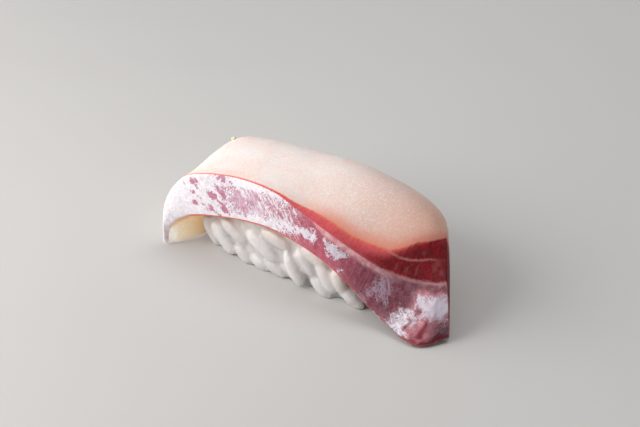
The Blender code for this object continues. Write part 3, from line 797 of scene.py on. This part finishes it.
riceForm = {
    "seed": 9, "gap": 0.35, "coreGap": 0.12,
    "middleX": 0.5, "halfLength": 25.6, "halfWidth": 9.5, "widestZ": 5.5, "topZ": 17.0, "bottomZ": -4.6,
    "squareness": 3.5, "coreSwell": 1.15, "coreSides": 96, "coreRings": 48,
    "grainLength": 7.3, "grainWidth": 2.9, "grainDepth": 2.4, "grainCount": 118, "grainTopZ": 13.5,
    "grainProud": 0.15, "shoulder": 1.06, "fullness": 1.16, "tries": 40, "fillers": 130,
    "voxel": 0.27, "smoothPasses": 2, "starch": 0.50, "pressed": 0.07, "dentFineness": 0.45,
    # grains that stand out along the skin side: centre, slope, length, width
    "front": (
        ((-22.3, -8.8, 3.4), -58, 8.4, 3.2), ((-17.6, -10.2, 3.6), -45, 9.2, 3.4),
        ((-5.7, -10.7, 6.3), -25, 9.6, 3.3), ((-11.2, -10.2, 1.3), -32, 6.2, 2.7),
        ((-6.4, -10.4, 1.4), -27, 6.4, 2.8), ((-2.0, -10.5, 1.9), -25, 7.2, 2.9),
        ((4.2, -11.5, 4.1), -57, 8.6, 2.8), ((6.8, -10.6, 6.4), -48, 7.0, 2.8),
        ((9.4, -10.5, 8.8), -15, 7.2, 3.0), ((11.3, -10.4, 1.5), -35, 7.6, 2.8),
        ((12.8, -10.8, 5.2), -56, 8.6, 3.2), ((16.7, -11.3, 6.0), -74, 6.0, 2.9),
        ((18.5, -10.5, 2.9), -28, 6.4, 2.7), ((19.8, -9.9, 1.3), -18, 6.0, 2.7),
        ((-14.0, -10.4, 6.8), -25, 8.6, 2.9), ((-1.6, -10.6, 9.4), -11, 8.4, 2.9),
    ),
}
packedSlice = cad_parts["fish_slice"].data
packedCorners = [vert.co.copy() for vert in packedSlice.vertices]
sliceTree = BVHTree.FromPolygons(packedCorners, [list(face.vertices) for face in packedSlice.polygons])


def undersideOf(tree, x, y):
    hit = tree.ray_cast(Vector((x, y, -20)) * mm, Vector((0, 0, 1)))[0]
    return None if hit is None else hit.z / mm


def corePoint(turn, climb):
    form = riceForm
    level = max(math.cos(climb), 0.0) ** 0.7
    power = form["squareness"]
    away = (abs(math.cos(turn)) ** power + abs(math.sin(turn)) ** power) ** (-1 / power)
    rise = abs(math.sin(climb)) ** 0.83
    reach = form["topZ"] - form["widestZ"] if climb > 0 else form["bottomZ"] - form["widestZ"]
    return Vector((
        form["middleX"] + form["halfLength"] * level * away * math.cos(turn),
        form["halfWidth"] * level * away * math.sin(turn),
        form["widestZ"] + reach * rise,
    ))


def grainFrame(centre, out, slope, length, width, depth, yaw=0.0):
    out = out.normalized()
    level = Vector((0, 0, 1)).cross(out)
    if level.length < 0.1:
        level = Vector((1, 0, 0))
    level.normalize()
    rise = out.cross(level)
    longAxis = (level * math.cos(slope) + rise * math.sin(slope) + out * math.sin(yaw)).normalized()
    flatAxis = (out - longAxis * out.dot(longAxis)).normalized()
    sideAxis = flatAxis.cross(longAxis)
    turn = Matrix((longAxis, sideAxis, flatAxis)).transposed().to_4x4()
    return Matrix.Translation(centre) @ turn @ Matrix.Diagonal((length / 2, width / 2, depth / 2, 1))


def plainGrainPoints():
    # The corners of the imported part's own grain, for testing what clears the slice.
    shape = bmesh.new()
    bmesh.ops.create_uvsphere(shape, u_segments=6, v_segments=4, radius=1)
    bmesh.ops.rotate(shape, verts=shape.verts, matrix=Euler((0, math.radians(90), 0)).to_matrix())
    for vert in shape.verts:
        x, y, z = vert.co
        if 0.1 < abs(x) < 0.9:
            vert.co = (x * riceForm["shoulder"], y * riceForm["fullness"], z * riceForm["fullness"])
    points = [vert.co.copy() for vert in shape.verts]
    shape.free()
    return points


def clearsSlice(grain, points):
    for point in points:
        place = grain @ point
        room = undersideOf(sliceTree, place.x, place.y)
        if room is not None and place.z > room - riceForm["gap"]:
            return False
        if sliceTree.find_nearest(place * mm, 4 * mm)[0] is not None:
            if sliceTree.find_nearest(place * mm)[3] < riceForm["gap"] * mm:
                return False
    return True


def fittedGrain(points, centre, out, slope, length, width, depth, yaw):
    for short in (1.0, 0.8):
        for drop in range(8):
            moved = centre - Vector((0, 0, 0.35 * drop))
            grain = grainFrame(moved, out, slope, length * short, width, depth, yaw)
            if clearsSlice(grain, points):
                return grain
    return None


def sideSpots(rng):
    while True:
        turn = rng.uniform(0, 2 * math.pi)
        climb = rng.uniform(-0.42, 0.95) * 0.5 * math.pi
        here = corePoint(turn, climb)
        if not 0.8 < here.z < riceForm["grainTopZ"]:
            continue
        beside = corePoint(turn + 0.02, climb)
        if rng.random() > (beside - here).length / (0.02 * 1.25 * riceForm["halfLength"]):
            continue
        above = corePoint(turn, climb + 0.02)
        out = (beside - here).cross(above - here).normalized()
        room = undersideOf(sliceTree, here.x, here.y)
        if room is not None and here.z > room - 0.6:
            continue
        yield here, out


def layGrains():
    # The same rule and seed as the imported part, so every grain lies where its solid is.
    form = riceForm
    rng = random.Random(form["seed"])
    points = plainGrainPoints()
    grains, laid = [], []
    for centre, slope, length, width in form["front"]:
        spot, out, slope = Vector(centre), Vector((0, -1, 0)), math.radians(slope)
        grain = fittedGrain(points, spot, out, slope, length, width, form["grainDepth"], 0.0)
        if grain is not None:
            grains.append(grain)
            laid.append(spot)
    spots = sideSpots(rng)
    for _ in range(form["grainCount"]):
        tries = [next(spots) for _ in range(form["tries"])]
        here, out = max(tries, key=lambda spot: min((spot[0] - other).length for other in laid))
        laid.append(here)
        slope = math.radians(rng.gauss(-25, 38))
        length = form["grainLength"] * rng.uniform(0.86, 1.12)
        width = form["grainWidth"] * rng.uniform(0.9, 1.12)
        depth = form["grainDepth"] * rng.uniform(0.9, 1.1)
        centre = here + out * (form["grainProud"] + rng.uniform(-0.15, 0.35))
        grain = fittedGrain(points, centre, out, slope, length, width, depth, rng.uniform(-0.12, 0.12))
        if grain is not None:
            grains.append(grain)
    return grains


def ballParts(around, rings):
    # The points and faces of a ball whose poles lie along X.
    shape = bmesh.new()
    bmesh.ops.create_uvsphere(shape, u_segments=around, v_segments=rings, radius=1)
    points = np.array([vert.co for vert in shape.verts])[:, [2, 0, 1]]
    faces = [[vert.index for vert in face.verts] for face in shape.faces]
    shape.free()
    return points, faces


def corePoints():
    form = riceForm
    shape, faces = ballParts(form["coreSides"], form["coreRings"])
    made = []
    for climb, across, along in shape:
        point = corePoint(math.atan2(along, across), math.asin(max(-1.0, min(1.0, climb))))
        out = Vector(((point.x - form["middleX"]) / form["halfLength"], point.y / form["halfWidth"], 0))
        point += out * form["coreSwell"] * min(1.0, max(0.3, point.z / 4))
        room = undersideOf(sliceTree, point.x, point.y)
        if room is not None:
            point.z = min(point.z, room - form["coreGap"])
        made.append(point)
    return np.array(made), faces


def grainPoints(ball, grain, rng):
    # One plump cooked grain: blunt ends, a slight bend and its own swelling.
    bend, blunt = rng.uniform(-0.10, 0.16), rng.uniform(2.3, 3.0)
    offset = Vector((rng.uniform(0, 50), rng.uniform(0, 50), 0))
    made = []
    for x, y, z in ball:
        side = math.hypot(y, z)
        full = max(0.0, 1 - abs(x) ** blunt) ** (1 / 2.1)
        if side > 1e-6:
            y, z = y / side * full, z / side * full
        swell = 1.04 + 0.09 * noise.noise(Vector((x * 1.3, y, z)) + offset)
        made.append(grain @ Vector((x * 0.98, y * swell * 1.10, z * swell * 0.90 + bend * (0.5 - x * x))))
    return np.array(made)


def fillerGrains():
    # A deeper layer, seen in the gaps between the outer grains.
    rng = random.Random(riceForm["seed"] + 1)
    spots = sideSpots(rng)
    points = plainGrainPoints()
    made = []
    for _ in range(riceForm["fillers"]):
        here, out = next(spots)
        size = rng.uniform(0.8, 1.0)
        centre = here - out * rng.uniform(0.1, 0.5)
        sizes = [riceForm[name] * size for name in ("grainLength", "grainWidth", "grainDepth")]
        grain = fittedGrain(points, centre, out, rng.uniform(-1.6, 1.6), *sizes, rng.uniform(-0.2, 0.2))
        if grain is not None:
            made.append(grain)
    return made


def makeRice():
    grains = layGrains()
    rng = random.Random(riceForm["seed"] + 100)
    points, faces = corePoints()
    shapes, total = [points], len(points)
    ball, ballFaces = ballParts(20, 16)
    for grain in grains + fillerGrains():
        shapes.append(grainPoints(ball, grain, rng))
        faces += [[corner + total for corner in face] for face in ballFaces]
        total += len(ball)
    mesh = bpy.data.meshes.new("pressedRice")
    mesh.from_pydata(np.concatenate(shapes) * mm, [], faces)
    obj = linked(bpy.data.objects.new("pressedRice", mesh))
    fuse = obj.modifiers.new("stuckTogether", "REMESH")
    fuse.mode = "VOXEL"
    fuse.voxel_size = riceForm["voxel"] * mm
    # Puffing the skin up and shrinking it again fills the narrow gaps, as starch does.
    for step in (1, -1):
        swell = obj.modifiers.new("starch", "DISPLACE")
        swell.mid_level = 0
        swell.strength = step * riceForm["starch"] * mm
        if step == 1:
            again = obj.modifiers.new("stuckAgain", "REMESH")
            again.mode = "VOXEL"
            again.voxel_size = riceForm["voxel"] * mm
    smooth = obj.modifiers.new("softSkins", "SMOOTH")
    smooth.factor = 0.5
    smooth.iterations = riceForm["smoothPasses"]
    mesh = applied(obj)

    # Pressing leaves the grains dented and uneven.
    place = vertexValues(mesh, "co") / mm
    place = place * riceForm["dentFineness"]
    dents = np.array([noise.fractal(Vector(point), 0.8, 2.0, 3) for point in place])
    pushOut(mesh, dents * riceForm["pressed"])

    # Flat where it rests.
    shape = bmesh.new()
    shape.from_mesh(mesh)
    everything = list(shape.verts) + list(shape.edges) + list(shape.faces)
    floorPlane = {"plane_co": (0, 0, 0.02 * mm), "plane_no": (0, 0, 1)}
    bmesh.ops.bisect_plane(shape, geom=everything, clear_inner=True, **floorPlane)
    bmesh.ops.holes_fill(shape, edges=[edge for edge in shape.edges if edge.is_boundary])
    shape.to_mesh(mesh)
    shape.free()
    mesh.shade_smooth()

    # Which grain each point belongs to, how near it is to a seam, and how near it is to the fish.
    where = vertexValues(mesh, "co") / mm
    inverse = np.array([np.array(grain.inverted()) for grain in grains])
    local = np.matmul(np.c_[where, np.ones(len(where))], inverse[:, :3, :].transpose(0, 2, 1))
    reach = np.sqrt((local**2).sum(axis=2))
    order = np.argpartition(reach, 1, axis=0)[:2]
    near = np.take_along_axis(reach, order, axis=0)
    swap = near[0] > near[1]
    owner = np.where(swap, order[1], order[0])
    first, second = near.min(axis=0), near.max(axis=0)
    tones = np.array([rng.uniform(0, 1) for _ in grains])
    addField(mesh, "grainTone", tones[owner])
    addField(mesh, "seam", np.clip((second - first) / 0.35, 0, 1))
    nearFish = np.array([sliceTree.find_nearest(Vector(point) * mm)[3] / mm for point in where])
    addField(mesh, "nearFish", np.clip(1 - nearFish / 5.0, 0, 1))
    mesh.materials.append(makeRiceMaterial())
    return obj, len(grains)


riceLook = {
    "white": (0.655, 0.63, 0.625, 1), "milk": (0.585, 0.56, 0.555, 1), "clear": (0.51, 0.47, 0.445, 1),
    # warm is painted light from the fish, laid on the rice near the slice
    "warm": (0.67, 0.54, 0.47, 1), "roughness": (0.34, 0.5), "beads": (1.2, 0.3), "bump": (0.05 * mm, 0.6),
    "body": (1.0, (1.0, 0.90, 0.80), 4.0 * mm, 0.5, 0.12, 0.25),
    "strands": {"fine": ((0, 0, 0), (1.6, 1.6, 1.6), 4.0)},
}


def makeRiceMaterial():
    made, paint = newMaterial("cookedRice", riceLook)
    paint.place = objectPlace(paint)
    colour = paint.blend(paint.field("grainTone"), paint.clouds("white", "milk", 0.5), "clear", 0.6)
    # Painted shade darkens the seams between grains towards the clear colour, which also stands for their
    # clearer rims.
    colour = paint.blend(paint.fit(paint.field("seam"), 0.0, 0.8, 1.0, 0.0), colour, "clear", 0.7)
    # Painted light: rice near the fish is tinted warm, standing in for light that passes through and bounces
    # off the slice.
    colour = paint.blend(paint.field("nearFish"), colour, "warm", 0.5)
    strands, beads = paint.strands("fine"), paint.beads(paint.place)
    rough = paint.less(paint.fit(strands, 0, 1, *riceLook["roughness"]), paint.times(beads, 0.1))
    paint.finish(colour, rough, (strands, *riceLook["bump"]), riceLook["body"])
    return made


pressedRice, grainTotal = makeRice()
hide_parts("rice_pad")
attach(pressedRice, "root")
print("rice made:", grainTotal, "grains,", len(pressedRice.data.polygons), "faces")


# the fleck of green on the back

fleckForm = {"at": 0.323, "across": 0.66, "size": (0.75, 0.5, 0.36), "sunk": 0.12, "unevenness": 0.3}
fleckLook = {
    "green": (0.62, 0.66, 0.30, 1), "paleGreen": (0.74, 0.74, 0.45, 1), "fineness": 2.4,
    "roughness": (0.35, 0.55), "bump": (0.05 * mm, 0.6), "body": (0.4, (0.8, 1.0, 0.3), 0.5 * mm),
}


def makeFleckMaterial():
    made, paint = newMaterial("greenHerb", fleckLook)
    paint.place = objectPlace(paint)
    tone = paint.drift(fleckLook["fineness"])
    rough = paint.fit(tone, 0, 1, *fleckLook["roughness"])
    colour = paint.clouds("green", "paleGreen", fleckLook["fineness"])
    paint.finish(colour, rough, (tone, *fleckLook["bump"]), fleckLook["body"])
    return made


def makeFleck():
    form = fleckForm
    facing = Vector(facingAt(form["at"]))
    middle = Vector(slicePoints(form["at"], [form["across"]], [1.0])[0])
    middle += facing * (form["size"][2] - form["sunk"])
    turn = facing.to_track_quat("Z", "X").to_matrix()
    shape = bmesh.new()
    bmesh.ops.create_icosphere(shape, subdivisions=4, radius=1)
    for vert in shape.verts:
        rough = 1 + form["unevenness"] * noise.fractal(vert.co * 1.7 + Vector((5, 2, 1)), 0.8, 2.0, 3)
        local = Vector(size * value * rough for size, value in zip(form["size"], vert.co))
        vert.co = (middle + turn @ local) * mm
    mesh = bpy.data.meshes.new("greenFleck")
    shape.to_mesh(mesh)
    shape.free()
    mesh.shade_smooth()
    mesh.materials.append(makeFleckMaterial())
    return linked(bpy.data.objects.new("greenFleck", mesh))


greenFleck = makeFleck()
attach(greenFleck, "root")
print("fleck made")


# floor, light and camera

setting = {
    "floorSize": 2.4, "floorColour": (0.62, 0.605, 0.58, 1), "floorShade": (0.58, 0.565, 0.545, 1),
    "fineness": 3.0, "roughness": (0.6, 0.7),
    # the room is lighter on the window's side
    "litSide": (0.50, 0.51, 0.54, 1), "darkSide": (0.16, 0.16, 0.165, 1), "sideTurn": 3.67,
    # lights: direction to the light, distance, size, power, colour
    "lights": (
        ("windowLight", (-0.54, -0.73, 0.45), 0.36, 0.34, 1.16, (1.0, 0.985, 0.965)),
        ("overLight", (0.06, 0.42, 0.90), 0.60, 0.40, 0.98, (1.0, 0.99, 0.975)),
        ("sideLight", (-0.95, -0.22, 0.22), 0.45, 0.24, 0.60, (1.0, 0.99, 0.97)),
    ),
    "cameraSpot": (0.1846, -0.2328, 0.1833), "azimuth": 38, "elevation": 30, "lens": 85,
}


def makeFloor():
    shape = bmesh.new()
    bmesh.ops.create_grid(shape, x_segments=8, y_segments=8, size=setting["floorSize"] / 2)
    mesh = bpy.data.meshes.new("paleFloor")
    shape.to_mesh(mesh)
    shape.free()
    made, paint = newMaterial("paleBoard", setting)
    paint.place = paint.put("TexCoord").outputs["Object"]
    rough = paint.fit(paint.drift(setting["fineness"]), 0, 1, *setting["roughness"])
    paint.finish(paint.clouds("floorColour", "floorShade", setting["fineness"]), rough)
    mesh.materials.append(made)
    linked(bpy.data.objects.new("paleFloor", mesh))


def makeLights():
    for name, toLight, distance, size, power, colour in setting["lights"]:
        data = bpy.data.lights.new(name, "AREA")
        data.shape, data.size, data.energy, data.color = "DISK", size, power, colour
        obj = linked(bpy.data.objects.new(name, data))
        direction = Vector(toLight).normalized()
        obj.location = direction * distance + Vector((0, 0, 0.01))
        obj.rotation_euler = direction.to_track_quat("Z", "Y").to_euler()
    world = bpy.data.worlds.new("softRoom")
    world.use_nodes = True
    paint = Paint(world.node_tree, setting)
    toWindow = (math.cos(setting["sideTurn"]), math.sin(setting["sideTurn"]), 0.35)
    sockets = {0: paint.put("TexCoord").outputs["Generated"], 1: toWindow}
    side = paint.put("VectorMath", sockets, operation="DOT_PRODUCT").outputs["Value"]
    shade = paint.blend(paint.fit(side, -0.8, 0.9), "darkSide", "litSide")
    world.node_tree.links.new(shade, world.node_tree.nodes["Background"].inputs["Color"])
    bpy.context.scene.world = world


def makeCamera():
    data = bpy.data.cameras.new("photoCamera")
    data.lens, data.sensor_width = setting["lens"], 36
    data.clip_start, data.clip_end = 0.01, 10
    obj = linked(bpy.data.objects.new("photoCamera", data))
    turn, climb = math.radians(setting["azimuth"]), math.radians(setting["elevation"])
    back = Vector((math.sin(turn) * math.cos(climb), -math.cos(turn) * math.cos(climb), math.sin(climb)))
    obj.location = setting["cameraSpot"]
    obj.rotation_mode = "QUATERNION"
    obj.rotation_quaternion = (-back).to_track_quat("-Z", "Y")
    bpy.context.scene.camera = obj
    bpy.context.scene.view_settings.view_transform = "Standard"


makeFloor()
makeLights()
makeCamera()
print("floor, lights and camera made")
